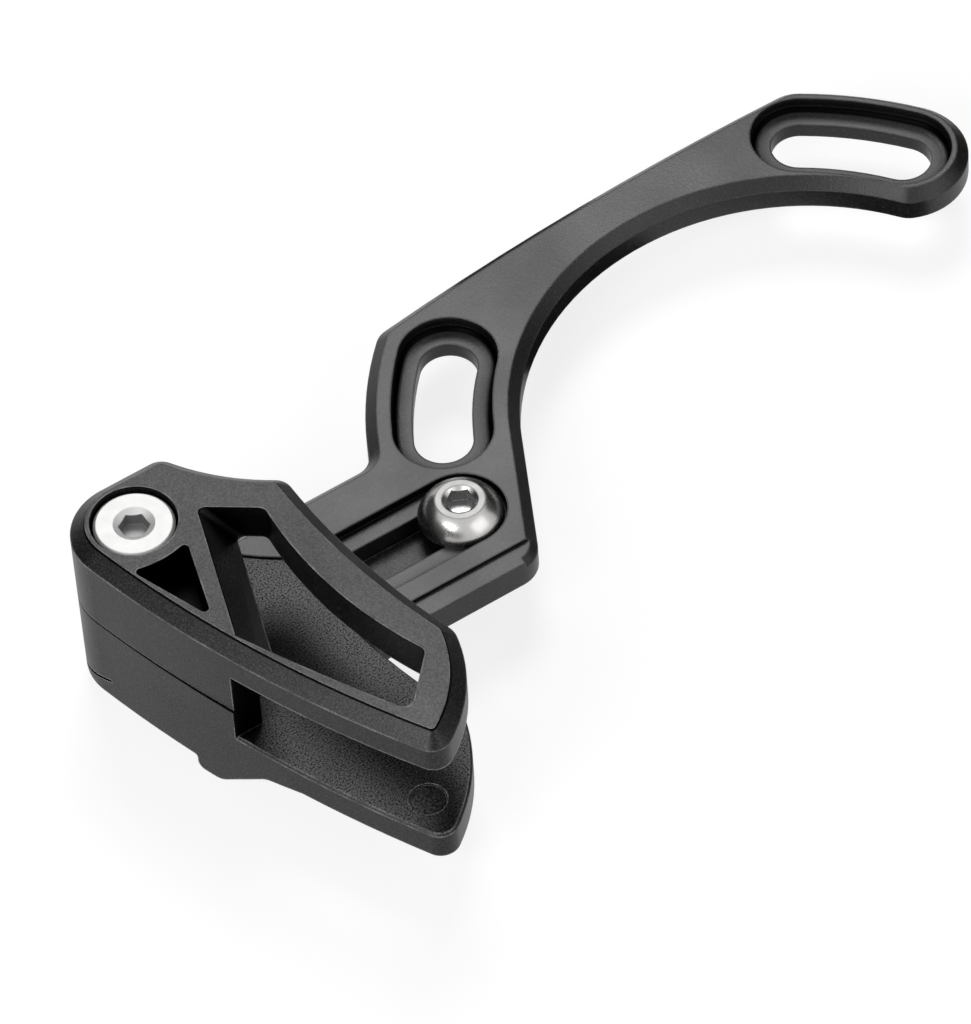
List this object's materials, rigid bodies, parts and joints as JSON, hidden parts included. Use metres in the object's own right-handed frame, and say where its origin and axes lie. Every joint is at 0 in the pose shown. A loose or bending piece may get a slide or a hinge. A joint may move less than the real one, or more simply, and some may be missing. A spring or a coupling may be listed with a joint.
{
  "type": "bicycle chain guide",
  "caption": "Black chain guide with a curved slotted back plate and a split moulded cage whose tongue slides along the plate's arm and is clamped by a button-head bolt.",
  "frame": {"origin": "crank axis, on the back face that seats on the frame's tabs", "axes": "+Z along the crank axis, away from the bicycle's frame; X along the arm, with the cage towards -X; +Y across the arm towards the plate's long edge"},
  "size_m": [0.1187, 0.0664, 0.0241],
  "materials": {
    "plate_black": "black anodised, fine blasted satin",
    "cage_black": "moulded black nylon with a fine grain",
    "bolt_steel": "polished stainless steel",
    "screw_steel": "bright satin steel",
    "nut_steel": "plain zinc-plated steel"
  },
  "bodies": {
    "plate": {"back_plate": "plate_black"},
    "cage": {"inner_cage": "cage_black", "outer_cage": "cage_black", "height_bolt": "bolt_steel", "height_nut": "nut_steel", "cage_screw": "screw_steel", "cage_nut": "nut_steel"}
  },
  "joints": [
    {"name": "height_slide", "type": "slide", "parent": "plate", "child": "cage", "axis": [-1, 0, 0], "range_m": [0, 0.013]}
  ]
}
